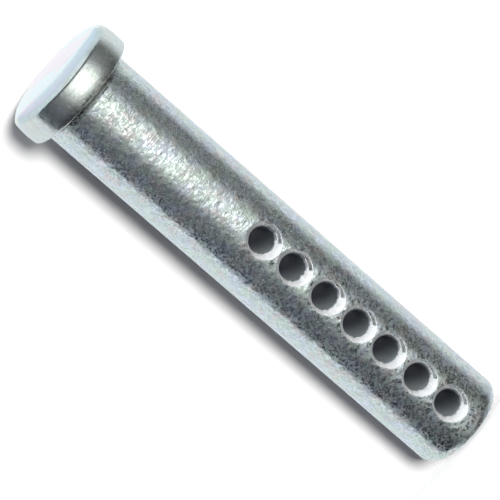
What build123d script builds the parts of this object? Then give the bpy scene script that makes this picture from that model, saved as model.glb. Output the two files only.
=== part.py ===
from build123d import *
import os

# An adjustable clevis pin, cold-headed and drilled from one bar, in millimetres.
# It stands on its end face with the head up: the origin is the centre of the end face, +Z runs
# along the pin towards the head, and the cross holes run along Y.

# The shank, a straight round bar
shank_diameter = 12.57
shank_length = 63.5  # from the seat under the head to the end face
seat_fillet = 0.4  # inside corner between the shank and the seat

seam_angle = -37.5  # where the seam of the turned faces runs down the pin, from +X about +Z

# The point, a rounded taper that leads the pin into its clevis
end_face_diameter = 10.97
point_length = 1.15
point_shoulder_radius = 1.2  # where the taper leaves the shank
end_edge_radius = 0.7  # where the taper meets the end face

# The head, a thick disc a little wider at the seat than at its top
head_diameter = 16.0
head_height = 3.95  # from the seat to the rim of the outer face
head_side_taper = 0.2  # on the radius, over the height of the side
head_chamfer_width = 0.76
head_chamfer_height = 0.52
head_crown = 0.08  # rise of the outer face from its rim to its centre
seat_edge_radius = 0.2
head_shoulder_radius = 0.4  # where the side meets the chamfer
face_rim_radius = 0.4  # where the chamfer meets the outer face

# The row of cross holes for a cotter or a hairpin, countersunk at both ends
hole_count = 7
hole_pitch = 5.15
hole_diameter = 3.45
first_hole_height = 5.2  # from the end face to the axis of the lowest hole
countersink_diameter = 4.9
countersink_angle = 60.0

# What follows from the sizes above
shank_radius = shank_diameter / 2
end_face_radius = end_face_diameter / 2
head_radius = head_diameter / 2
side_top_radius = head_radius - head_side_taper
face_radius = side_top_radius - head_chamfer_width
face_rim_height = shank_length + head_height
side_top_height = face_rim_height - head_chamfer_height
row_centre_height = first_hole_height + hole_pitch * (hole_count - 1) / 2

os.makedirs("parts", exist_ok=True)

with BuildPart() as clevis_pin:
    # Half of the lengthwise section, from the end face up to the head
    with BuildSketch(Plane.XZ.rotated((0, 0, seam_angle))) as half_section:
        with BuildLine():
            end_face = Line((0, 0), (end_face_radius, 0))
            point = Line(end_face @ 1, (shank_radius, point_length))
            shank_side = Line(point @ 1, (shank_radius, shank_length))
            seat = Line(shank_side @ 1, (head_radius, shank_length))
            head_side = Line(seat @ 1, (side_top_radius, side_top_height))
            chamfer_line = Line(head_side @ 1, (face_radius, face_rim_height))
            crown = TangentArc((0, face_rim_height + head_crown), chamfer_line @ 1, tangent=(1, 0))
            Line(crown @ 0, end_face @ 0)
        make_face()

        # Each corner of the section with the radius that rounds it
        for corner, corner_radius in (
            (end_face @ 1, end_edge_radius),
            (point @ 1, point_shoulder_radius),
            (shank_side @ 1, seat_fillet),
            (seat @ 1, seat_edge_radius),
            (head_side @ 1, head_shoulder_radius),
            (chamfer_line @ 1, face_rim_radius),
        ):
            nearest_corner = half_section.vertices().sort_by_distance(corner)[0]
            fillet(nearest_corner, radius=corner_radius)
    revolve(axis=Axis.Z)

    # Cross holes, drilled to the middle from both sides of the shank, so that each mouth has its
    # countersink
    for side in (-1, 1):
        mouth_plane = Plane(
            origin=(0, side * shank_radius, row_centre_height),
            x_dir=(1, 0, 0),
            z_dir=(0, side, 0),
        )
        with Locations(mouth_plane):
            with GridLocations(hole_pitch, hole_pitch, 1, hole_count):
                CounterSinkHole(
                    radius=hole_diameter / 2,
                    counter_sink_radius=countersink_diameter / 2,
                    depth=shank_radius,
                    counter_sink_angle=countersink_angle,
                )

clevis_pin.part.label = "clevis_pin"
export_step(clevis_pin.part, "parts/clevis_pin.step")
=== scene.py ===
"""Looks for a zinc-plated clevis pin with a row of countersunk cross holes.

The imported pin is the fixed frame. One finely modelled bar stands for it, with rounded hole mouths,
a barrelled head and a bright zinc finish. It stands on its end face in a white studio corner.
Sizes are in millimetres and meshes are in metres.
"""

from __future__ import annotations

import logging
import math
from collections.abc import Callable
from dataclasses import dataclass, field
from enum import Enum

import bmesh
import bpy
from mathutils import Matrix, Vector, noise

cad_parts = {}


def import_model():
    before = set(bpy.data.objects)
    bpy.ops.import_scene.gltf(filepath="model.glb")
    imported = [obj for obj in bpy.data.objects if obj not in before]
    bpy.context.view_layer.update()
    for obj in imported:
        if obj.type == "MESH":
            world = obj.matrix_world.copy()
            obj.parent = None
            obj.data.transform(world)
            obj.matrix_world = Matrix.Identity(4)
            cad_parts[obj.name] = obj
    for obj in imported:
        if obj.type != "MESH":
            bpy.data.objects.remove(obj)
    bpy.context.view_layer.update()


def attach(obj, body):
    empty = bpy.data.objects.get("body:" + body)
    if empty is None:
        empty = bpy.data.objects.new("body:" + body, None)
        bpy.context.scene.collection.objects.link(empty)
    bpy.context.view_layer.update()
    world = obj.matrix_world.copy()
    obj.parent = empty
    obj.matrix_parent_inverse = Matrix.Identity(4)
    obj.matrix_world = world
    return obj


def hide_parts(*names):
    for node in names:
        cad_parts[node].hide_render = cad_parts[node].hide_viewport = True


LOG = logging.getLogger("clevis_pin")
MM = 0.001
NEAR = 0.002  # millimetres within which a vertex counts as lying on a line of the pin

Place = Callable[[Vector], bool]
Shape = Callable[[Vector], Vector]
Socket = bpy.types.NodeSocket
Span = tuple[float, float]
Colour = tuple[float, float, float]


def smooth_step(value: float, low: float, high: float) -> float:
    """Returns 0 below low, 1 above high, and a smooth rise between them."""
    share = min(1.0, max(0.0, (value - low) / (high - low)))
    return share * share * (3 - 2 * share)


class Element(Enum):
    """What a selection in edit mode is made of."""

    VERTEX = "VERT"
    EDGE = "EDGE"
    FACE = "FACE"


class Workpiece:
    """A mesh shaped in edit mode, with its vertices given and returned in millimetres."""

    def __init__(self, obj: bpy.types.Object) -> None:
        """Opens the object in edit mode.

        Args:
            obj: The mesh object, at the origin.
        """
        self.obj = obj
        bpy.context.view_layer.objects.active = obj
        bpy.ops.object.mode_set(mode="EDIT")

    def _bmesh(self) -> bmesh.types.BMesh:
        """Returns the mesh that is open in edit mode."""
        return bmesh.from_edit_mesh(self.obj.data)

    def _show(self, mesh: bmesh.types.BMesh) -> None:
        """Writes a changed selection or shape back to the object."""
        mesh.select_flush_mode()
        bmesh.update_edit_mesh(self.obj.data)

    def pick(self, kind: Element, place: Place, rim_only: bool = False) -> None:
        """Selects the elements that lie where a test says, and nothing else.

        Args:
            kind: Whether vertices, edges or faces are picked.
            place: The test of a position. An edge is picked when both its ends pass it.
            rim_only: True to pick only vertices or edges on an open border of the mesh.
        """
        bpy.ops.mesh.select_mode(type=kind.value)
        bpy.ops.mesh.select_all(action="DESELECT")
        mesh = self._bmesh()
        if kind is Element.VERTEX:
            for vertex in mesh.verts:
                vertex.select = place(vertex.co / MM) and (vertex.is_boundary or not rim_only)
        elif kind is Element.EDGE:
            passed = {vertex: place(vertex.co / MM) for vertex in mesh.verts}
            for edge in mesh.edges:
                allowed = edge.is_boundary or not rim_only
                edge.select = allowed and all(passed[vertex] for vertex in edge.verts)
        else:
            for face in mesh.faces:
                face.select = place(face.calc_center_median() / MM)
        self._show(mesh)

    def pick_upright_edges(self) -> None:
        """Selects the edges that run along the pin."""
        bpy.ops.mesh.select_mode(type="EDGE")
        bpy.ops.mesh.select_all(action="DESELECT")
        mesh = self._bmesh()
        for edge in mesh.edges:
            low, high = (vertex.co / MM for vertex in edge.verts)
            edge.select = abs(high.z - low.z) > NEAR
        self._show(mesh)

    def form(self, shape: Shape) -> None:
        """Moves each selected vertex to where a rule says.

        Args:
            shape: Gives a vertex's new position from its old one.
        """
        mesh = self._bmesh()
        for vertex in mesh.verts:
            if vertex.select:
                vertex.co = shape(vertex.co / MM) * MM
        self._show(mesh)

    def deepen(self, place: Place, shape: Shape) -> None:
        """Extrudes open borders of the mesh to new rings.

        Args:
            place: The test that picks the borders.
            shape: Gives a new vertex's position from that of the one that it starts from.
        """
        self.pick(Element.EDGE, place, rim_only=True)
        bpy.ops.mesh.extrude_region_move()
        self.form(shape)

    def grow_through(self, rings: list[Span], pole: float) -> None:
        """Extrudes an open end of the bar through rings and closes the last one on the axis.

        Args:
            rings: The radius and the height of each ring. The first is the open end.
            pole: The height of the closing point.
        """
        start = rings[0][1]
        self.pick(Element.EDGE, lambda point: abs(point.z - start) < NEAR, rim_only=True)
        for (radius, height), (next_radius, next_height) in zip(rings, rings[1:]):
            rise = (next_height - height) * MM
            bpy.ops.mesh.extrude_region_move(TRANSFORM_OT_translate={"value": (0, 0, rise)})
            share = next_radius / radius
            bpy.ops.transform.resize(value=(share, share, 1), center_override=(0, 0, 0))
        rise = (pole - rings[-1][1]) * MM
        bpy.ops.mesh.extrude_region_move(TRANSFORM_OT_translate={"value": (0, 0, rise)})
        bpy.ops.mesh.merge(type="CENTER")

    def bevel(self, place: Place, cut: float, segments: int) -> None:
        """Bevels edges.

        Args:
            place: The test that both ends of an edge pass if it is bevelled.
            cut: How far from the edge the bevel begins.
            segments: How many faces lie across the bevel.
        """
        self.pick(Element.EDGE, place)
        bpy.ops.mesh.bevel(
            offset=cut * MM, segments=segments, affect="EDGES", clamp_overlap=False
        )

    def round_ring(self, ring: Span, rounding: float, turn: float, segments: int) -> None:
        """Rounds an edge that runs round the pin.

        Args:
            ring: The edge's radius and height.
            rounding: The radius that rounds it.
            turn: The angle by which the pin's outline turns there, in degrees.
            segments: How many faces lie across the rounding.
        """
        radius, height = ring

        def on_ring(point: Vector) -> bool:
            """Tells whether a point lies on the edge."""
            off = math.hypot(math.hypot(point.x, point.y) - radius, point.z - height)
            return off < NEAR

        self.bevel(on_ring, rounding * math.tan(math.radians(turn) / 2), segments)

    def close(self) -> None:
        """Leaves edit mode with doubles merged and every face pointing outwards."""
        bpy.ops.mesh.select_mode(type="VERT")
        bpy.ops.mesh.select_all(action="SELECT")
        bpy.ops.mesh.remove_doubles(threshold=NEAR * MM / 4)
        bpy.ops.mesh.normals_make_consistent(inside=False)
        bpy.ops.object.mode_set(mode="OBJECT")


@dataclass(frozen=True)
class HoleRow:
    """The row of cross holes, countersunk at both sides of the shank.

    The points of its walls are found by an angle round the hole's axis, from +X towards +Z in
    radians, by a side of the pin, 1 towards +Y or -1 towards -Y, and by the hole's height.
    """

    shank_radius: float = 6.285
    count: int = 7
    pitch: float = 5.15
    first_height: float = 5.2
    bore_radius: float = 1.725
    mouth_radius: float = 2.45
    mouth_half_angle: float = 30.0
    mouth_depth: float = 1.24
    rim_rounding: float = 0.07
    edge_rounding: float = 0.04
    rim_waver: float = 0.03
    waver_pace: float = 1.3
    burr: float = 0.2
    burr_least: float = 0.05  # the share of the burr that stands all round
    burr_below: Span = (-0.6, 0.6)  # how far down a hole's side lies where the burr sets in
    burr_depth: float = 0.5
    burr_pace: float = 3.6
    tool_step: float = 0.10  # as a share of the cone's depth, like the two spans below
    tool_step_in: Span = (0.05, 0.28)
    tool_step_out: Span = (0.3, 0.5)
    tool_step_angle: float = 0.25
    tool_step_spread: Span = (0.55, 0.95)
    height_stride: float = 1.7  # these two set the mouths far apart in the chance pattern
    side_stride: float = 40.0
    chance_gain: float = 1.6
    cone_rings: int = 7
    bore_rings: tuple[float, ...] = (4.75, 4.3, 2.9, 1.5, 0.0)
    drift_along: tuple[float, ...] = (-0.05, -0.1, 0.05, -0.15, -0.08, 0.15, 0.05)
    drift_around: tuple[float, ...] = (0.1, 0.02, 0.08, 0.08, 0.08, 0.15, 0.17)

    @property
    def low(self) -> float:
        """Returns the height where the drilled stretch begins."""
        return self.first_height - self.pitch / 2

    @property
    def high(self) -> float:
        """Returns the height where the drilled stretch ends."""
        return self.low + self.count * self.pitch

    @property
    def bore_mouth_depth(self) -> float:
        """Returns how far from the pin's axis the countersink meets the bore."""
        return self.shank_radius - self.mouth_depth

    def centre(self, height: float) -> float:
        """Returns the height of the hole nearest to a height."""
        index = round((height - self.first_height) / self.pitch)
        return self.first_height + min(self.count - 1, max(0, index)) * self.pitch

    def around(self, point: Vector) -> tuple[float, float, float]:
        """Returns a point's angle round its hole, its side of the pin and the hole's height."""
        height = self.centre(point.z)
        return math.atan2(point.z - height, point.x), math.copysign(1.0, point.y), height

    def chance(self, angle: float, side: float, height: float, pace: float) -> float:
        """Returns a smooth chance value from 0 to about 1 that changes round each mouth.

        Args:
            angle: The angle round the hole.
            side: The side of the pin.
            height: The hole's height.
            pace: How fast the value changes with the angle.
        """
        far = height * self.height_stride + side * self.side_stride
        where = Vector((math.cos(angle) * pace, math.sin(angle) * pace, far))
        return abs(noise.noise(where)) * self.chance_gain

    def rim_reach(self, angle: float) -> float:
        """Returns the mouth's radius where its cone meets the round shank.

        Args:
            angle: The angle round the hole.
        """
        slope = math.tan(math.radians(self.mouth_half_angle))
        reach = self.mouth_radius
        for _ in range(12):  # the reach and the fall of the shank settle on each other
            across = reach * math.cos(angle)
            fall = self.shank_radius - math.sqrt(self.shank_radius**2 - across**2)
            reach = self.mouth_radius - fall * slope
        return reach

    def rim_point(self, angle: float, side: float, height: float) -> Vector:
        """Returns a point of a mouth's rim.

        Args:
            angle: The angle round the hole.
            side: The side of the pin.
            height: The hole's height.
        """
        waver = self.rim_waver * self.chance(angle, side, height, self.waver_pace)
        reach = self.rim_reach(angle) - waver
        across = reach * math.cos(angle)
        out = math.sqrt(self.shank_radius**2 - across**2)
        return Vector((across, side * out, height + reach * math.sin(angle)))

    def bore_point(self, angle: float, side: float, height: float, depth: float) -> Vector:
        """Returns a point of the bore's wall, which has a ragged burr low in its mouth.

        Args:
            angle: The angle round the hole.
            side: The side of the pin.
            height: The hole's height.
            depth: The point's distance from the middle of the pin.
        """
        near_mouth = smooth_step(
            depth, self.bore_mouth_depth - self.burr_depth, self.bore_mouth_depth
        )
        torn = self.chance(angle, side, height, self.burr_pace)
        rag = self.burr_least + torn * smooth_step(-math.sin(angle), *self.burr_below)
        reach = self.bore_radius - self.burr * rag * near_mouth
        return Vector((reach * math.cos(angle), side * depth, height + reach * math.sin(angle)))

    def cone_point(self, angle: float, side: float, height: float, share: float) -> Vector:
        """Returns a point of the countersink, where the tool left a fine step towards +X.

        Args:
            angle: The angle round the hole.
            side: The side of the pin.
            height: The hole's height.
            share: How much of the way from the rim to the bore lies above the point.
        """
        rim = self.rim_point(angle, side, height)
        foot = self.bore_point(angle, side, height, self.bore_mouth_depth)
        step = self.tool_step * smooth_step(
            math.cos(angle - self.tool_step_angle), *self.tool_step_spread
        )
        extra = smooth_step(share, *self.tool_step_in) - smooth_step(share, *self.tool_step_out)
        point = rim.lerp(foot, share)
        point.y = rim.y + (foot.y - rim.y) * min(1.0, share + step * extra)
        return point


@dataclass
class DrilledStretch:
    """The lower half of the shank, with the mouths and the bores of its cross holes."""

    holes: HoleRow = field(default_factory=HoleRow)
    columns: int = 144
    cell_rows: int = 20
    rim_segments: int = 4
    edge_segments: int = 2
    lip: float = 0.03
    lip_least: float = 0.4
    lip_chance: float = 2.4
    lip_pace: float = 3.1
    lip_reach: float = 0.4
    lip_margin: float = 1.0
    skin: float = 0.02
    change_over: Span = (0.47, 0.53)  # of the pitch, where one hole's drift gives way
    fade_below: float = 1.0
    fade_above: float = 3.0

    @property
    def half_opening(self) -> Span:
        """Returns half the angle and half the height that each cell opens for its mouth."""
        steps = self.cell_rows // 2 - 1
        return steps * math.tau / self.columns, steps * self.holes.pitch / self.cell_rows

    def raise_tube(self) -> bpy.types.Object:
        """Adds the open tube that the holes are made in.

        Returns:
            The new mesh object, selected and active.
        """
        bpy.ops.object.select_all(action="DESELECT")
        row = self.holes
        bpy.ops.mesh.primitive_cylinder_add(
            vertices=self.columns,
            radius=row.shank_radius * MM,
            depth=(row.high - row.low) * MM,
            end_fill_type="NOTHING",
            location=(0, 0, (row.high + row.low) / 2 * MM),
        )
        bpy.ops.object.transform_apply(location=True, rotation=True, scale=True)
        tube = bpy.context.active_object
        tube.name = tube.data.name = "pin_bar"
        return tube

    def open_cells(self, work: Workpiece) -> None:
        """Divides the tube into cells and takes the middle out of each cell that has a mouth.

        Args:
            work: The bar being shaped.
        """
        row = self.holes
        for cuts in (row.count - 1, self.cell_rows - 1):
            work.pick_upright_edges()
            bpy.ops.mesh.subdivide(number_cuts=cuts)
        half_angle, half_height = self.half_opening

        def in_opening(point: Vector) -> bool:
            """Tells whether a face lies in the middle of a cell."""
            turn = math.atan2(abs(point.x), abs(point.y))
            return turn < half_angle and abs(point.z - row.centre(point.z)) < half_height

        work.pick(Element.FACE, in_opening)
        bpy.ops.mesh.delete(type="FACE")

    def _inside(self, point: Vector) -> bool:
        """Tells whether a point lies clear of the stretch's two ends."""
        return self.holes.low + NEAR < point.z < self.holes.high - NEAR

    def round_mouths(self, work: Workpiece) -> None:
        """Brings each cell's square border to the curve where the countersink meets the shank.

        Args:
            work: The bar being shaped.
        """
        row = self.holes
        half_angle, half_height = self.half_opening

        def on_rim(point: Vector) -> Vector:
            """Returns the rim point that a point of the square border goes to.

            Args:
                point: A vertex of the border.
            """
            height = row.centre(point.z)
            across = math.atan2(point.x, abs(point.y)) / half_angle
            up = (point.z - height) / half_height
            if abs(across) >= abs(up):
                angle = math.pi / 4 * up / abs(across)
                angle = angle if across > 0 else math.pi - angle
            else:
                angle = math.pi / 2 - math.pi / 4 * across / abs(up)
                angle = angle if up > 0 else -angle
            return row.rim_point(angle, math.copysign(1.0, point.y), height)

        work.pick(Element.VERTEX, self._inside, rim_only=True)
        work.form(on_rim)

    def _ring_of(self, wall_point: Callable[..., Vector], depth: float) -> Shape:
        """Returns the rule that takes a point to the same angle of a hole's wall, at a depth."""
        return lambda point: wall_point(*self.holes.around(point), depth)

    def sink_bores(self, work: Workpiece) -> None:
        """Extrudes each mouth down its cone and its bore to the middle of the shank.

        Args:
            work: The bar being shaped.
        """
        row = self.holes
        for step in range(1, row.cone_rings + 1):
            work.deepen(self._inside, self._ring_of(row.cone_point, step / row.cone_rings))
        for depth in row.bore_rings:
            work.deepen(self._inside, self._ring_of(row.bore_point, depth))

    def round_edges(self, work: Workpiece) -> None:
        """Rounds the rim of each mouth and the edge between its cone and its bore.

        Args:
            work: The bar being shaped.
        """
        row = self.holes

        def at_rim(point: Vector) -> bool:
            """Tells whether a point lies on the rim of a mouth."""
            on_shank = abs(math.hypot(point.x, point.y) - row.shank_radius) < NEAR
            return on_shank and (point - row.rim_point(*row.around(point))).length < NEAR

        def at_bore_edge(point: Vector) -> bool:
            """Tells whether a point lies where a cone meets its bore."""
            foot = row.bore_point(*row.around(point), row.bore_mouth_depth)
            return (point - foot).length < NEAR

        work.bevel(at_rim, row.rim_rounding, self.rim_segments)
        work.bevel(at_bore_edge, row.edge_rounding, self.edge_segments)

    def _drift_at(self, height: float, drifts: tuple[float, ...]) -> float:
        """Returns the drift at a height, constant over each hole and eased between holes.

        Args:
            height: The height on the pin.
            drifts: Each hole's drift, the lowest hole's first.
        """
        row = self.holes
        place = (height - row.first_height) / row.pitch
        low = min(row.count - 1, max(0, math.floor(place)))
        high = min(row.count - 1, low + 1)
        share = smooth_step(place - low, *self.change_over) if place > 0 else 0.0
        drift = drifts[low] + (drifts[high] - drifts[low]) * share
        fade_in = smooth_step(height, row.low - self.fade_below, row.low)
        return drift * (fade_in - smooth_step(height, row.high, row.high + self.fade_above))

    def drift(self, work: Workpiece) -> None:
        """Raises an uneven lip round each mouth and sets the holes a little out of step.

        Args:
            work: The bar being shaped.
        """
        row = self.holes

        def moved(point: Vector) -> Vector:
            """Returns where a vertex goes.

            Args:
                point: The vertex.
            """
            out = math.hypot(point.x, point.y)
            by_holes = row.low - self.lip_margin < point.z < row.high + self.lip_margin
            if abs(out - row.shank_radius) < self.skin and by_holes:
                mouth = row.around(point)
                gap = (point - row.rim_point(*mouth)).length / self.lip_reach
                uneven = self.lip_least + self.lip_chance * row.chance(*mouth, self.lip_pace)
                swell = 1 + self.lip * uneven * math.exp(-(gap**2)) / out
                point = Vector((point.x * swell, point.y * swell, point.z))
            turn = self._drift_at(point.z, row.drift_around) / row.shank_radius
            turned = Matrix.Rotation(turn, 3, "Z") @ point
            turned.z += self._drift_at(point.z, row.drift_along)
            return turned

        bpy.ops.mesh.select_mode(type="VERT")
        bpy.ops.mesh.select_all(action="SELECT")
        work.form(moved)


@dataclass
class Head:
    """The thick disc at the top of the pin, with a bevelled rim and a faintly domed face."""

    seat_height: float = 63.5
    radius: float = 8.0
    height: float = 3.95
    side_taper: float = 0.2
    belly_height: float = 1.4
    belly_radius: float = 10.0
    side_rings: int = 7
    neck_height: float = 0.8
    neck_flare: float = 0.28
    neck_rounding: float = 1.3
    chamfer_width: float = 0.76
    chamfer_height: float = 0.52
    crown: float = 0.08
    seat_fillet: float = 0.4
    seat_edge: float = 0.2
    shoulder: float = 0.4
    face_rim: float = 0.4
    face_rings: int = 9
    edge_segments: int = 5

    @property
    def face_radius(self) -> float:
        """Returns the radius of the outer face inside its bevel."""
        return self.radius - self.side_taper - self.chamfer_width

    @property
    def top(self) -> float:
        """Returns the height of the outer face's rim."""
        return self.seat_height + self.height

    def side_at(self, share: float) -> Span:
        """Returns the radius and the height of the barrelled side, this far up from the seat."""
        rise = (self.height - self.chamfer_height) * share
        bulge = (rise - self.belly_height) ** 2 / (2 * self.belly_radius)
        return self.radius - bulge, self.seat_height + rise

    def face_at(self, share: float) -> Span:
        """Returns the radius and the height of the domed face, at a share of its radius."""
        return self.face_radius * share, self.top + self.crown * (1 - share**4)

    def raise_on(self, work: Workpiece, shank_radius: float, from_height: float) -> None:
        """Grows the plain shank and the head from the open top of the drilled stretch.

        Args:
            work: The bar being shaped.
            shank_radius: The shank's radius.
            from_height: The height of the open ring that the head grows from.
        """
        neck = (shank_radius, self.seat_height - self.neck_height)
        rings = [(shank_radius, from_height), neck]
        rings.append((shank_radius + self.neck_flare, self.seat_height))
        rings += [self.side_at(step / self.side_rings) for step in range(self.side_rings + 1)]
        rings += [self.face_at(1 - step / self.face_rings) for step in range(self.face_rings)]
        work.grow_through(rings, self.top + self.crown)

    def round_edges(self, work: Workpiece, shank_radius: float) -> None:
        """Rounds the seat's inner corner and the edges of the head.

        Args:
            work: The bar being shaped.
            shank_radius: The shank's radius.
        """
        slope = math.degrees(math.atan2(self.chamfer_height, self.chamfer_width))
        lean = math.degrees(math.atan2(self.side_taper, self.height - self.chamfer_height))
        flare = math.degrees(math.atan2(self.neck_flare, self.neck_height))
        neck = (shank_radius, self.seat_height - self.neck_height)
        for ring, rounding, turn in (
            (neck, self.neck_rounding, flare),
            ((shank_radius + self.neck_flare, self.seat_height), self.seat_fillet, 90.0 - flare),
            (self.side_at(0.0), self.seat_edge, 90.0 + lean),
            (self.side_at(1.0), self.shoulder, 90.0 - lean - slope),
            ((self.face_radius, self.top), self.face_rim, slope),
        ):
            work.round_ring(ring, rounding, turn, self.edge_segments)


@dataclass
class Point:
    """The rounded end that leads the pin into its clevis."""

    end_radius: float = 5.485
    length: float = 1.15
    shoulder: float = 1.2
    end_edge: float = 0.7
    face_rings: int = 4
    edge_segments: int = 6

    def raise_on(self, work: Workpiece, shank_radius: float, from_height: float) -> None:
        """Grows the point down from the open bottom of the drilled stretch.

        Args:
            work: The bar being shaped.
            shank_radius: The shank's radius.
            from_height: The height of the open ring that the point grows from.
        """
        rings = [(shank_radius, from_height), (shank_radius, self.length)]
        for step in range(self.face_rings):
            rings.append((self.end_radius * (1 - step / self.face_rings), 0.0))
        work.grow_through(rings, 0.0)

    def round_edges(self, work: Workpiece, shank_radius: float) -> None:
        """Rounds the point's shoulder and the edge of the end face.

        Args:
            work: The bar being shaped.
            shank_radius: The shank's radius.
        """
        taper = math.degrees(math.atan2(self.length, shank_radius - self.end_radius))
        shoulder = (shank_radius, self.length)
        work.round_ring(shoulder, self.shoulder, 90.0 - taper, self.edge_segments)
        work.round_ring((self.end_radius, 0.0), self.end_edge, taper, self.edge_segments)


class Tone(Enum):
    """The colours of the finish, as linear red, green and blue."""

    ZINC = (0.84, 0.87, 0.87)
    ZINC_GREEN = (0.76, 0.86, 0.77)
    ZINC_BLUE = (0.79, 0.85, 0.93)
    ZINC_BROWN = (0.84, 0.76, 0.74)
    HEAD_SIDE = (0.80, 0.83, 0.77)
    FACE_PINK = (0.90, 0.80, 0.89)
    FACE_CYAN = (0.76, 0.88, 0.92)
    # painted shade under the head, not a colour of the plate
    GRIME = (0.16, 0.13, 0.11)
    CUT = (0.97, 0.98, 0.98)
    BORE = (0.79, 0.88, 0.91)
    # the painted shade inside the bores, not a colour of the plate
    BORE_DEEP = (0.04, 0.035, 0.065)


class NodeBench:
    """Adds and joins shader nodes in one tree."""

    def __init__(self, tree: bpy.types.NodeTree) -> None:
        """Keeps the tree and empties it."""
        self.tree = tree
        tree.nodes.clear()

    def add(self, kind: str, inputs: dict | None = None, **settings: object) -> bpy.types.Node:
        """Adds a node.

        Args:
            kind: The node's type name.
            inputs: Values or sockets for its inputs, by name or number.
            settings: Its other settings.

        Returns:
            The new node.
        """
        node = self.tree.nodes.new(kind)
        for name, value in settings.items():
            setattr(node, name, value)
        for name, value in (inputs or {}).items():
            if isinstance(value, Socket):
                self.tree.links.new(value, node.inputs[name])
            else:
                node.inputs[name].default_value = value
        return node

    def math(self, operation: str, first: object, second: object = 0.0) -> Socket:
        """Adds a sum, product or other function of one or two values and returns its output."""
        return self.add("ShaderNodeMath", {0: first, 1: second}, operation=operation).outputs[0]

    def vector(self, operation: str, first: object, second: object) -> Socket:
        """Adds a function of two vectors or colours and returns its output."""
        inputs = {0: first, 1: second}
        node = self.add("ShaderNodeVectorMath", inputs, operation=operation)
        return node.outputs["Value" if operation == "DOT_PRODUCT" else "Vector"]

    def parts(self, vector: Socket) -> bpy.types.NodeOutputs:
        """Splits a vector and returns the outputs X, Y and Z."""
        return self.add("ShaderNodeSeparateXYZ", {"Vector": vector}).outputs

    def noise(
        self, place: Socket, scale: object, detail: float = 2.0, distortion: float = 0.0
    ) -> Socket:
        """Adds a smooth chance pattern from 0 to 1 and returns its output."""
        inputs = {"Vector": place, "Scale": scale, "Detail": detail, "Distortion": distortion}
        return self.add("ShaderNodeTexNoise", inputs).outputs[0]

    def ramp(self, value: object, over: Span, start: float = 0.0, end: float = 1.0) -> Socket:
        """Maps a value over a span smoothly from start to end and returns the output."""
        inputs = {0: value, 1: over[0], 2: over[1], 3: start, 4: end}
        kind = "ShaderNodeMapRange"
        return self.add(kind, inputs, interpolation_type="SMOOTHSTEP", clamp=True).outputs[0]

    def mix(self, share: object, first: object, second: object) -> Socket:
        """Mixes two colours and returns the output.

        Args:
            share: How much of the second there is.
            first: A colour or a socket.
            second: The same.
        """
        node = self.add("ShaderNodeMix", {0: share}, data_type="RGBA")
        for index, value in ((6, first), (7, second)):
            if isinstance(value, Socket):
                self.tree.links.new(value, node.inputs[index])
            else:
                node.inputs[index].default_value = (*value, 1.0)
        return node.outputs[2]

    def bump(
        self, height: Socket, depth_mm: float, strength: object = 1.0, under: Socket | None = None
    ) -> Socket:
        """Adds a relief and returns its normal.

        Args:
            height: Where it rises and falls.
            depth_mm: How far it rises and falls.
            strength: How much of it is felt.
            under: The normal of another relief that it lies on.

        Returns:
            The output.
        """
        inputs = {"Height": height, "Strength": strength, "Distance": depth_mm * MM}
        if under:
            inputs["Normal"] = under
        return self.add("ShaderNodeBump", inputs).outputs[0]

    def show(self, shader: Socket) -> None:
        """Joins a shader to the material's output."""
        self.add("ShaderNodeOutputMaterial", {"Surface": shader})


def new_material(name: str) -> tuple[bpy.types.Material, NodeBench]:
    """Adds a material and returns it with the bench for its nodes."""
    material = bpy.data.materials.new(name)
    material.use_nodes = True
    return material, NodeBench(material.node_tree)


def zinc_grain_group() -> bpy.types.NodeTree:
    """Builds the shared effect of plated steel: its curly crystal grain and its stains.

    Returns:
        A group with outputs Height, Stain and Grain.
    """
    group = bpy.data.node_groups.new("zinc_grain", "ShaderNodeTree")
    for name, kind in (("Position", "NodeSocketVector"), ("Grain Scale", "NodeSocketFloat")):
        group.interface.new_socket(name, in_out="INPUT", socket_type=kind)
    for name in ("Height", "Stain", "Grain"):
        group.interface.new_socket(name, in_out="OUTPUT", socket_type="NodeSocketFloat")
    bench = NodeBench(group)
    given = bench.add("NodeGroupInput")
    place, scale = given.outputs["Position"], given.outputs["Grain Scale"]
    curls = bench.noise(place, scale, detail=0.0, distortion=0.5)
    coarse, fine = bench.math("MULTIPLY", scale, 0.36), bench.math("MULTIPLY", scale, 1.15)
    patches = bench.noise(place, coarse, detail=1.0, distortion=0.4)
    height = bench.math("ADD", curls, bench.math("MULTIPLY", patches, 1.6))
    frost = bench.ramp(bench.noise(place, fine, detail=0.6, distortion=1.1), (0.37, 0.64))
    bench.add("NodeGroupOutput", {"Height": height, "Stain": patches, "Grain": frost})
    return group


def scratch_group() -> bpy.types.NodeTree:
    """Builds the effect of short handling scratches that run in several directions.

    Returns:
        A group with the output Height, which falls in a scratch.
    """
    group = bpy.data.node_groups.new("scratches", "ShaderNodeTree")
    group.interface.new_socket("Position", in_out="INPUT", socket_type="NodeSocketVector")
    group.interface.new_socket("Height", in_out="OUTPUT", socket_type="NodeSocketFloat")
    bench = NodeBench(group)
    place = bench.add("NodeGroupInput").outputs["Position"]
    stretch = (0.35, 2.4, 2.4)
    total = 0.0
    for turn in (
        (10.0, 35.0, 20.0),
        (-15.0, -40.0, 70.0),
        (30.0, 75.0, -35.0),
        (-35.0, 5.0, -60.0),
    ):
        angles = tuple(math.radians(degrees) for degrees in turn)
        inputs = {"Vector": place, "Rotation": angles, "Scale": stretch}
        turned = bench.add("ShaderNodeMapping", inputs).outputs[0]
        lines = bench.noise(turned, 1.0, detail=0.0, distortion=0.15)
        off = bench.math("ABSOLUTE", bench.math("SUBTRACT", lines, 0.5))
        line = bench.ramp(off, (0.004, 0.022), 1.0, 0.0)
        worn = bench.ramp(bench.noise(turned, 1.7, detail=0.0), (0.52, 0.6))
        total = bench.math("MAXIMUM", bench.math("MULTIPLY", line, worn), total)
    bench.add("NodeGroupOutput", {"Height": bench.math("MULTIPLY", total, -1.0)})
    return group


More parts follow.
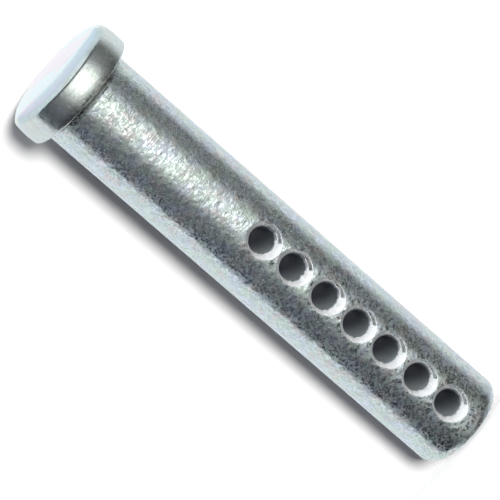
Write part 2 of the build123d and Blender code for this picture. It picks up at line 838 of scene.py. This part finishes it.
class Finish:
    """What the finishes of the pin have in common."""

    @staticmethod
    def position(bench: NodeBench) -> Socket:
        """Adds the place on the pin, in millimetres, and returns its output."""
        place = bench.add("ShaderNodeTexCoord").outputs["Object"]
        return bench.add("ShaderNodeMapping", {"Vector": place, "Scale": (1 / MM,) * 3}).outputs[0]

    @staticmethod
    def effect(
        bench: NodeBench, group: bpy.types.NodeTree, place: Socket, **inputs: float
    ) -> bpy.types.NodeOutputs:
        """Adds an effect and returns its outputs.

        Args:
            bench: Where it is added.
            group: The effect's node group.
            place: The position that it reads.
            inputs: Its other inputs, with _ for a space.
        """
        node = bench.add("ShaderNodeGroup", node_tree=group)
        bench.tree.links.new(place, node.inputs["Position"])
        for name, value in inputs.items():
            node.inputs[name.replace("_", " ")].default_value = value
        return node.outputs


@dataclass(frozen=True)
class ZincPlate(Finish):
    """Bright zinc plate on rolled steel, smoother on the head and most of all on its face, with
    painted shade under the head.
    """

    seat_height: float = 63.5
    face_height: float = 67.3
    face_edge: float = 0.12
    grain_per_mm: float = 1.75
    grain_depth_mm: float = 0.024
    scratch_depth_mm: float = 0.010
    calm_face: float = 0.2
    calm_head: float = 0.35
    roughness: Span = (0.10, 0.40)
    head_roughness: float = 0.15
    head_share: float = 0.55
    face_roughness: float = 0.05
    tint_per_mm: float = 0.55
    tint_share: float = 0.8
    brown_share: float = 0.8
    dull_per_mm: float = 1.3
    dull: Span = (0.92, 1.06)
    glaze_per_mm: float = 0.14
    side_share: float = 0.6
    # These four set the painted shade under the head: its band below the seat and its side, which
    # faces the camera.
    neck_shade_ring: Span = (-0.75, -0.45)  # from the seat, where the band of painted shade under the head sets in
    neck_shade_end: float = -0.05
    neck_shade_front: Span = (-2.5, -4.0)
    neck_shade_share: float = 0.75

    def _at_seat(self, bench: NodeBench, height: Socket, span: Span, *ends: float) -> Socket:
        """Maps heights counted from the seat smoothly from one value to another."""
        over = (self.seat_height + span[0], self.seat_height + span[1])
        return bench.ramp(height, over, *ends)

    def _on_face(self, bench: NodeBench, height: Socket) -> Socket:
        """Returns 1 on the outer face of the head and 0 below it."""
        return bench.ramp(height, (self.face_height, self.face_height + self.face_edge))

    def colour(self, bench: NodeBench, place: Socket, stain: Socket) -> Socket:
        """Adds the plate's drifting tint and the painted shade under the head, and returns its
        output.

        Args:
            bench: Where it is added.
            place: The position in millimetres.
            stain: The effect's patches.
        """
        at = bench.parts(place)
        drift = bench.ramp(bench.noise(place, self.tint_per_mm, detail=3.0), (0.35, 0.65))
        tint = bench.mix(drift, Tone.ZINC_GREEN.value, Tone.ZINC_BLUE.value)
        stained = bench.ramp(stain, (0.5, 0.7), 0.0, self.brown_share)
        tint = bench.mix(stained, tint, Tone.ZINC_BROWN.value)
        colour = bench.mix(self.tint_share, Tone.ZINC.value, tint)
        clouds = bench.noise(place, self.dull_per_mm, detail=2.0, distortion=0.8)
        colour = bench.vector("MULTIPLY", colour, bench.ramp(clouds, (0.32, 0.68), *self.dull))
        on_side = self._at_seat(bench, at["Z"], (0.0, 0.3), 0.0, self.side_share)
        colour = bench.mix(on_side, colour, Tone.HEAD_SIDE.value)
        glaze = bench.ramp(bench.noise(place, self.glaze_per_mm, detail=1.0), (0.42, 0.58))
        face = bench.mix(glaze, Tone.FACE_CYAN.value, Tone.FACE_PINK.value)
        colour = bench.mix(self._on_face(bench, at["Z"]), colour, face)
        # Painted shade: the neck just under the head is darkened to brownish black, on the side
        # towards the camera only.
        ring = bench.math(
            "MULTIPLY",
            self._at_seat(bench, at["Z"], self.neck_shade_ring),
            self._at_seat(bench, at["Z"], (self.neck_shade_end, 0.0), 1.0, 0.0),
        )
        front = bench.ramp(at["Y"], self.neck_shade_front, 0.0, self.neck_shade_share)
        return bench.mix(bench.math("MULTIPLY", ring, front), colour, Tone.GRIME.value)

    def make(self, grain: bpy.types.NodeTree, scratches: bpy.types.NodeTree) -> bpy.types.Material:
        """Builds the plate's material.

        Args:
            grain: The shared grain group.
            scratches: The scratch group.

        Returns:
            The new material.
        """
        material, bench = new_material("zinc_plate")
        place = self.position(bench)
        height = bench.parts(place)["Z"]
        crystal = self.effect(bench, grain, place, Grain_Scale=self.grain_per_mm)
        marks = self.effect(bench, scratches, place)
        rough = bench.ramp(crystal["Grain"], (0.0, 1.0), *self.roughness)
        on_head = self._at_seat(bench, height, (-0.2, 0.4), 0.0, self.head_share)
        for share, goal in (
            (on_head, self.head_roughness),
            (self._on_face(bench, height), self.face_roughness),
        ):
            change = bench.math("MULTIPLY", share, bench.math("SUBTRACT", goal, rough))
            rough = bench.math("ADD", rough, change)
        to_face = (self.face_height - 0.6, self.face_height)
        calm = bench.math(
            "MULTIPLY",
            bench.ramp(height, to_face, 1.0, self.calm_face),
            self._at_seat(bench, height, (0.0, 0.3), 1.0, self.calm_head),
        )
        relief = bench.bump(crystal["Height"], self.grain_depth_mm, calm)
        relief = bench.bump(marks["Height"], self.scratch_depth_mm, calm, under=relief)
        inputs = {
            "Base Color": self.colour(bench, place, crystal["Stain"]),
            "Metallic": 1.0,
            "Roughness": rough,
            "Normal": relief,
        }
        bench.show(bench.add("ShaderNodeBsdfPrincipled", inputs).outputs[0])
        return material


@dataclass(frozen=True)
class DullPlate(Finish):
    """A plate that mirrors little. Each kind gives its own colour."""

    name: str
    roughness: float
    metal: float
    specular: float
    grain_per_mm: float
    grain_depth_mm: float

    def colour(self, bench: NodeBench, place: Socket, frost: Socket) -> Socket:
        """Adds the plate's colour and returns its output.

        Args:
            bench: Where it is added.
            place: The position in millimetres.
            frost: The grain's frosty patches.
        """
        raise NotImplementedError

    def make(self, grain: bpy.types.NodeTree) -> bpy.types.Material:
        """Builds the plate's material.

        Args:
            grain: The shared grain group.

        Returns:
            The new material.
        """
        material, bench = new_material(self.name)
        place = self.position(bench)
        crystal = self.effect(bench, grain, place, Grain_Scale=self.grain_per_mm)
        inputs = {
            "Base Color": self.colour(bench, place, crystal["Grain"]),
            "Metallic": self.metal,
            "Roughness": self.roughness,
            "Specular IOR Level": self.specular,
            "Normal": bench.bump(crystal["Height"], self.grain_depth_mm),
        }
        bench.show(bench.add("ShaderNodeBsdfPrincipled", inputs).outputs[0])
        return material


@dataclass(frozen=True)
class BoreWall(DullPlate):
    """The thin plate inside the cross holes, with painted shade: darker towards +Y, away from the
    camera, and towards +X.
    """

    name: str = "bore_wall"
    roughness: float = 0.55
    metal: float = 0.0
    specular: float = 0.08
    grain_per_mm: float = 1.8
    grain_depth_mm: float = 0.04
    sideways: float = 3.6  # how much more a step towards +X deepens the painted shade than a step towards +Y
    shade_span: Span = (-8.0, 6.2)

    def colour(self, bench: NodeBench, place: Socket, frost: Socket) -> Socket:
        """Adds the bore's colour with its painted shade and returns its output. See DullPlate for
        the arguments.
        """
        at = bench.parts(place)
        depth = bench.math("ADD", at["Y"], bench.math("MULTIPLY", at["X"], self.sideways))
        return bench.mix(bench.ramp(depth, self.shade_span), Tone.BORE.value, Tone.BORE_DEEP.value)


@dataclass(frozen=True)
class CutZinc(DullPlate):
    """The frosty plate over the torn cut of the countersinks."""

    name: str = "cut_zinc"
    roughness: float = 0.3
    metal: float = 0.14
    specular: float = 0.5
    grain_per_mm: float = 2.6
    grain_depth_mm: float = 0.03
    shade: Span = (0.88, 1.0)

    def colour(self, bench: NodeBench, place: Socket, frost: Socket) -> Socket:
        """Adds the cut's colour and returns its output. See DullPlate for the arguments."""
        return bench.vector("MULTIPLY", Tone.CUT.value, bench.ramp(frost, (0.0, 1.0), *self.shade))


class Coat(Enum):
    """The finishes of the bar, by their place in its list of materials."""

    PLATE = 0
    BORE = 1
    CUT = 2


@dataclass
class ClevisPin:
    """The whole pin as one bar: drilled shank, head and point."""

    drilled: DrilledStretch = field(default_factory=DrilledStretch)
    head: Head = field(default_factory=Head)
    point: Point = field(default_factory=Point)
    fit: float = 0.998
    skin: float = 0.05
    shaded_above: float = 0.35  # how far the bore's darker plate comes up the cone on its upper side, as painted shade
    shaded_above_spread: Span = (0.0, 0.7)
    shaded_beside: float = 0.25  # and on its side towards +X, also painted shade
    shaded_beside_spread: Span = (0.3, 0.9)
    bright_ring: Span = (0.22, 0.62)  # of the cone's depth, where the tool left it smooth
    bright_angle: float = -0.2
    bright_spread: float = 0.72

    def build(self) -> bpy.types.Object:
        """Models the bar.

        Returns:
            The finished mesh object, at the origin.
        """
        row = self.drilled.holes
        bar = self.drilled.raise_tube()
        work = Workpiece(bar)
        self.drilled.open_cells(work)
        self.drilled.round_mouths(work)
        self.drilled.sink_bores(work)
        self.head.raise_on(work, row.shank_radius, row.high)
        self.point.raise_on(work, row.shank_radius, row.low)
        self.drilled.round_edges(work)
        self.head.round_edges(work, row.shank_radius)
        self.point.round_edges(work, row.shank_radius)
        self.drilled.drift(work)
        bpy.ops.mesh.select_all(action="SELECT")
        bpy.ops.transform.resize(value=(self.fit, self.fit, 1), center_override=(0, 0, 0))
        work.close()
        bpy.ops.object.shade_smooth()
        weighted = bar.modifiers.new("even_shading", "WEIGHTED_NORMAL")
        weighted.mode = "FACE_AREA"
        weighted.keep_sharp = True
        bpy.ops.object.modifier_apply(modifier=weighted.name)
        return bar

    def coat_at(self, centre: Vector) -> Coat:
        """Returns the finish of a face.

        Args:
            centre: The middle of the face, in millimetres.
        """
        row = self.drilled.holes
        on_skin = math.hypot(centre.x, centre.y) > row.shank_radius - self.skin
        if on_skin or not row.low < centre.z < row.high:
            return Coat.PLATE
        angle, side, height = row.around(centre)
        # Painted shade: the bore's darker material is carried up the cone on its upper side and on
        # its side towards +X.
        above = self.shaded_above * smooth_step(math.sin(angle), *self.shaded_above_spread)
        beside = self.shaded_beside * smooth_step(math.cos(angle), *self.shaded_beside_spread)
        if abs(centre.y) < row.bore_mouth_depth + max(above - row.edge_rounding, beside):
            return Coat.BORE
        rim = abs(row.rim_point(angle, side, height).y)
        sunk = (rim - abs(centre.y)) / (rim - row.bore_mouth_depth)
        in_ring = self.bright_ring[0] < sunk < self.bright_ring[1]
        if in_ring and math.cos(angle - self.bright_angle) > self.bright_spread:
            return Coat.PLATE
        return Coat.CUT

    def dress(self, bar: bpy.types.Object) -> None:
        """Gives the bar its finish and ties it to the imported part.

        Args:
            bar: The finished mesh object.
        """
        grain = zinc_grain_group()
        bar.data.materials.append(ZincPlate().make(grain, scratch_group()))
        bar.data.materials.append(BoreWall().make(grain))
        bar.data.materials.append(CutZinc().make(grain))
        for polygon in bar.data.polygons:
            polygon.material_index = self.coat_at(polygon.center / MM).value
        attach(bar, "root")
        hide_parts("clevis_pin")


@dataclass(frozen=True)
class Sight:
    """The direction that a ray looks in, as node outputs.

    Forward and sideways are shares of it towards the camera and to the camera's right. Turn is its
    angle from forward to sideways and rise its angle above the level, in degrees.
    """

    forward: Socket
    sideways: Socket
    turn: Socket
    rise: Socket


@dataclass(frozen=True)
class Glow:
    """A soft patch of light in the room, by its direction from the pin in degrees."""

    turn: float
    spread: Span
    low: Span
    high: Span
    colour: Colour

    def add_to(self, bench: NodeBench, room: Socket, sight: Sight) -> Socket:
        """Adds the patch's light to the room's and returns the output.

        Args:
            bench: Where it is added.
            room: The room's colour so far.
            sight: The direction looked in.
        """
        off = bench.math("ABSOLUTE", bench.math("SUBTRACT", sight.turn, self.turn))
        share = bench.ramp(off, self.spread, 1.0, 0.0)
        share = bench.math("MULTIPLY", share, bench.ramp(sight.rise, self.low))
        share = bench.math("MULTIPLY", share, bench.ramp(sight.rise, self.high, 1.0, 0.0))
        return bench.vector("ADD", room, bench.vector("MULTIPLY", self.colour, share))


@dataclass(frozen=True)
class Room:
    """What the metal mirrors: a dark room in front of the pin and a white table behind it."""

    left: Colour = (0.068, 0.077, 0.097)
    right: Colour = (0.140, 0.150, 0.152)
    left_to_right: Span = (-50.0, 60.0)
    gloom: Span = (-21.0, -14.0)
    gloom_share: float = 0.6
    glows: tuple[Glow, ...] = (
        Glow(17.0, (4.0, 46.0), (-23.5, -9.0), (11.0, 18.0), (1.45, 1.5, 1.49)),
        Glow(10.0, (20.0, 85.0), (-26.0, -8.0), (11.0, 18.0), (0.16, 0.165, 0.16)),
        Glow(0.0, (150.0, 180.0), (55.0, 63.0), (90.0, 91.0), (0.68, 0.74, 0.78)),
        Glow(20.0, (20.0, 60.0), (-91.0, -90.0), (-45.0, -25.0), (0.32, 0.34, 0.33)),
    )
    sides: Span = (-0.5, 0.5)  # of sideways, from the table's left to its right
    table_edge: Span = (-0.10, 0.30)  # how far it stays behind the pin at its left and right
    table_blur: Span = (0.07, 0.27)
    table_below: Span = (-70.0, -25.0)
    table_below_edge: float = 0.15
    table_far: Colour = (0.78, 0.83, 0.87)
    table_lit: Colour = (1.0, 1.03, 1.03)
    lit_rise: Span = (-11.0, 3.0)
    lit_back: Span = (-0.95, -0.80)
    lit_least: float = 0.1
    wall: Colour = (0.66, 0.76, 0.83)
    wall_rise: Span = (11.3, 12.1)

    def _table_share(self, bench: NodeBench, sight: Sight) -> Socket:
        """Returns 1 where the table is seen. It reaches round further on the left.

        Args:
            bench: Where it is added.
            sight: The direction looked in.
        """
        edge = bench.ramp(sight.sideways, self.sides, *self.table_edge)
        below = bench.ramp(sight.rise, self.table_below, self.table_below_edge, 0.0)
        edge = bench.math("ADD", edge, below)
        blur = bench.ramp(sight.sideways, self.sides, *self.table_blur)
        back = bench.math("MULTIPLY", sight.forward, -1.0)
        past = bench.math("ADD", bench.math("SUBTRACT", back, edge), blur)
        share = bench.math("DIVIDE", past, bench.math("MULTIPLY", blur, 2.0))
        return bench.ramp(share, (0.0, 1.0))

    def _table(self, bench: NodeBench, sight: Sight) -> Socket:
        """Returns the colour of the table and of the wall that stands above it.

        Args:
            bench: Where it is added.
            sight: The direction looked in.
        """
        lit = bench.math(
            "MULTIPLY",
            bench.ramp(sight.rise, self.lit_rise),
            bench.ramp(sight.forward, self.lit_back, 1.0, self.lit_least),
        )
        table = bench.mix(lit, self.table_far, self.table_lit)
        return bench.mix(bench.ramp(sight.rise, self.wall_rise), table, self.wall)

    def seen(self, bench: NodeBench, sight: Sight) -> Socket:
        """Adds all that is seen in the room and returns its colour.

        Args:
            bench: Where it is added.
            sight: The direction looked in.
        """
        room = bench.mix(bench.ramp(sight.turn, self.left_to_right), self.left, self.right)
        gloom = bench.ramp(sight.rise, self.gloom, self.gloom_share, 0.0)
        room = bench.mix(gloom, room, (0.0, 0.0, 0.0))
        for glow in self.glows:
            room = glow.add_to(bench, room, sight)
        return bench.mix(self._table_share(bench, sight), room, self._table(bench, sight))


@dataclass
class Studio:
    """A white corner with one soft key light, and the camera that looks into it.

    A value is in metres where its name doesn't say millimetres or degrees.
    """

    camera_mm: tuple[float, float, float] = (-65.6, -406.6, 146.2)
    turn_deg: float = -9.05
    tilt_deg: float = 15.09
    roll_deg: float = -49.0
    lens_mm: float = 254.9
    sensor_mm: float = 36.0
    clip: Span = (0.01, 10.0)
    floor_size: float = 3.0
    floor_white: float = 0.45
    floor_glow: float = 0.55
    floor_gap_mm: float = 8.0
    wall_size: float = 0.6
    wall_white: float = 1.28
    wall_back_mm: float = 6.3
    wall_below_mm: float = 20.0
    wall_lean_deg: float = 1.5
    wall_dip_deg: float = 6.0
    card_dark: Colour = (0.03, 0.03, 0.03)
    key_turn_deg: float = 13.3
    key_height_deg: float = 11.0
    key_strength: float = 2.45
    key_spread_deg: float = 14.0
    key_colour: Colour = (1.0, 0.985, 0.96)
    key_away: float = 0.5
    overhead: Colour = (5.3, 5.6, 5.9)
    overhead_rise: Span = (50.0, 66.0)
    dimness: Colour = (0.03, 0.03, 0.04)
    room: Room = field(default_factory=Room)

    def directions(self) -> tuple[Vector, Vector]:
        """Returns the level directions from the pin to the camera and to the camera's right."""
        turn = math.radians(self.turn_deg)
        front = Vector((math.sin(turn), -math.cos(turn), 0))
        return front, Vector((math.cos(turn), math.sin(turn), 0))

    def _raised(self, level: Vector, angle: float) -> Vector:
        """Returns a level direction raised by an angle in degrees."""
        rise = math.radians(angle)
        return level * math.cos(rise) + Vector((0, 0, math.sin(rise)))

    def add_camera(self) -> None:
        """Places the camera and makes it the scene's own."""
        data = bpy.data.cameras.new("camera")
        data.lens = self.lens_mm
        data.sensor_width = self.sensor_mm
        data.clip_start, data.clip_end = self.clip
        camera = bpy.data.objects.new("camera", data)
        bpy.context.scene.collection.objects.link(camera)
        front, right = self.directions()
        back = self._raised(front, self.tilt_deg)
        up = back.cross(right)
        roll = math.radians(self.roll_deg)
        across = right * math.cos(roll) + up * math.sin(roll)
        above = up * math.cos(roll) - right * math.sin(roll)
        frame = Matrix((across, above, back)).transposed().to_4x4()
        frame.translation = Vector(self.camera_mm) * MM
        camera.matrix_world = frame
        bpy.context.scene.camera = camera

    def add_key(self) -> None:
        """Adds the soft key light, to the camera's right and above it."""
        data = bpy.data.lights.new("key", "SUN")
        data.energy = self.key_strength
        data.angle = math.radians(self.key_spread_deg)
        data.color = self.key_colour
        key = bpy.data.objects.new("key", data)
        bpy.context.scene.collection.objects.link(key)
        front, right = self.directions()
        turn = math.radians(self.key_turn_deg)
        level = front * math.cos(turn) + right * math.sin(turn)
        towards = self._raised(level, self.key_height_deg)
        key.rotation_mode = "QUATERNION"
        key.rotation_quaternion = towards.to_track_quat("Z", "Y")
        key.location = towards * self.key_away
        key.visible_glossy = False

    def add_floor(self) -> bpy.types.Object:
        """Adds the white floor that the pin stands on.

        Returns:
            The floor.
        """
        bpy.ops.object.select_all(action="DESELECT")
        bpy.ops.mesh.primitive_plane_add(size=self.floor_size, location=(0, 0, 0))
        floor = bpy.context.active_object
        floor.name = "floor"
        floor.visible_glossy = False
        floor.visible_shadow = False
        floor.data.materials.append(self._floor_material())
        return floor

    def add_wall(self) -> bpy.types.Object:
        """Adds the white backdrop close behind the pin, which shows only from its front.

        Returns:
            The backdrop.
        """
        front, right = self.directions()
        bpy.ops.object.select_all(action="DESELECT")
        bpy.ops.mesh.primitive_plane_add(size=self.wall_size)
        wall = bpy.context.active_object
        wall.name = "backdrop"
        facing = self._raised(front, self.wall_lean_deg)
        above = facing.cross(right)
        frame = Matrix((right, above, facing)).transposed().to_4x4()
        rise = self.wall_size / 2 - self.wall_below_mm * MM
        frame.translation = -front * self.wall_back_mm * MM + above * rise
        wall.matrix_world = frame
        wall.visible_glossy = False
        wall.data.materials.append(self._wall_material())
        return wall

    def _matt(self, bench: NodeBench, paleness: float, **inputs: Socket) -> tuple[Socket, Socket]:
        """Adds a matt white that throws little light back on the pin.

        Args:
            bench: Where it is added.
            paleness: How white it is to the camera.
            inputs: Other inputs of its shader.

        Returns:
            The shader, and 1 for what the camera itself sees.
        """
        seen = bench.add("ShaderNodeLightPath").outputs["Is Camera Ray"]
        white = bench.mix(seen, self.card_dark, (paleness,) * 3)
        return bench.add("ShaderNodeBsdfDiffuse", {"Color": white, **inputs}).outputs[0], seen

    def _fade(self, bench: NodeBench, shader: Socket, clear: Socket) -> None:
        """Shows a card's shader, clear by a share.

        Args:
            bench: Where it is added.
            shader: The card's shader.
            clear: How clear the card is, from 0 to 1.
        """
        nothing = bench.add("ShaderNodeBsdfTransparent").outputs[0]
        bench.show(bench.add("ShaderNodeMixShader", {0: clear, 1: shader, 2: nothing}).outputs[0])

    def _floor_material(self) -> bpy.types.Material:
        """Builds the floor's white, part of it light of its own that only the camera sees.

        Returns:
            The new material. It clears towards the backdrop, which runs on below the floor.
        """
        material, bench = new_material("floor_white")
        matt, seen = self._matt(bench, self.floor_white)
        glow = bench.math("MULTIPLY", seen, self.floor_glow)
        own = bench.add("ShaderNodeEmission", {"Strength": glow}).outputs[0]
        white = bench.add("ShaderNodeAddShader", {0: matt, 1: own}).outputs[0]
        place = bench.add("ShaderNodeTexCoord").outputs["Object"]
        back = bench.vector("DOT_PRODUCT", place, tuple(-self.directions()[0]))
        behind = bench.ramp(back, (-self.floor_gap_mm * MM, 0.0))
        before_wall = bench.math("LESS_THAN", back, self.wall_back_mm * MM)
        self._fade(bench, white, bench.math("MULTIPLY", behind, before_wall))
        return material

    def _wall_material(self) -> bpy.types.Material:
        """Builds the backdrop's white, shaded as if it faced lower, away from the lamp overhead.

        Returns:
            The new material, which is clear from behind.
        """
        material, bench = new_material("backdrop_white")
        facing = self._raised(self.directions()[0], -self.wall_dip_deg)
        normal = bench.add("ShaderNodeCombineXYZ", dict(zip("XYZ", facing))).outputs[0]
        matt, _ = self._matt(bench, self.wall_white, Normal=normal)
        self._fade(bench, matt, bench.add("ShaderNodeNewGeometry").outputs["Backfacing"])
        return material

    def light_world(self) -> None:
        """Sets what surrounds the pin, by what a ray is for.

        The camera sees white and the metal mirrors the room. What is matt is lit by a lamp
        overhead, and by next to nothing from the sides.
        """
        world = bpy.data.worlds.new("studio")
        bpy.context.scene.world = world
        world.use_nodes = True
        bench = NodeBench(world.node_tree)
        way = bench.add("ShaderNodeTexCoord").outputs["Generated"]
        front, right = self.directions()
        forward = bench.vector("DOT_PRODUCT", way, tuple(front))
        sideways = bench.vector("DOT_PRODUCT", way, tuple(right))
        upward = bench.vector("DOT_PRODUCT", way, (0.0, 0.0, 1.0))
        to_degrees = math.degrees(1.0)
        turn = bench.math("MULTIPLY", bench.math("ARCTAN2", sideways, forward), to_degrees)
        rise = bench.math("MULTIPLY", bench.math("ARCSINE", upward), to_degrees)
        room = self.room.seen(bench, Sight(forward, sideways, turn, rise))

        light = bench.add("ShaderNodeLightPath").outputs
        lamp = bench.mix(bench.ramp(rise, self.overhead_rise), self.dimness, self.overhead)
        direct = bench.math("LESS_THAN", light["Diffuse Depth"], 0.5)
        mirrored = bench.mix(direct, self.dimness, room)
        shown = bench.mix(light["Is Glossy Ray"], lamp, mirrored)
        shown = bench.mix(light["Is Camera Ray"], shown, (1.0, 1.0, 1.0))
        surroundings = bench.add("ShaderNodeBackground", {"Color": shown, "Strength": 1.0})
        bench.add("ShaderNodeOutputWorld", {"Surface": surroundings.outputs[0]})

    def build(self) -> None:
        """Sets up the whole studio."""
        for card in (self.add_floor(), self.add_wall()):
            LOG.info("%s: %s", card.name, card.active_material.name)
        self.light_world()
        self.add_key()
        self.add_camera()
        bpy.context.scene.view_settings.view_transform = "Standard"


def main() -> None:
    """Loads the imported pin, dresses it and sets up the studio."""
    logging.basicConfig(level=logging.INFO, format="%(name)s: %(message)s")
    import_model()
    pin = ClevisPin()
    bar = pin.build()
    pin.dress(bar)
    LOG.info("%s: %d faces", bar.name, len(bar.data.polygons))
    Studio().build()
    bpy.ops.object.select_all(action="DESELECT")


if __name__ == "__main__":
    main()
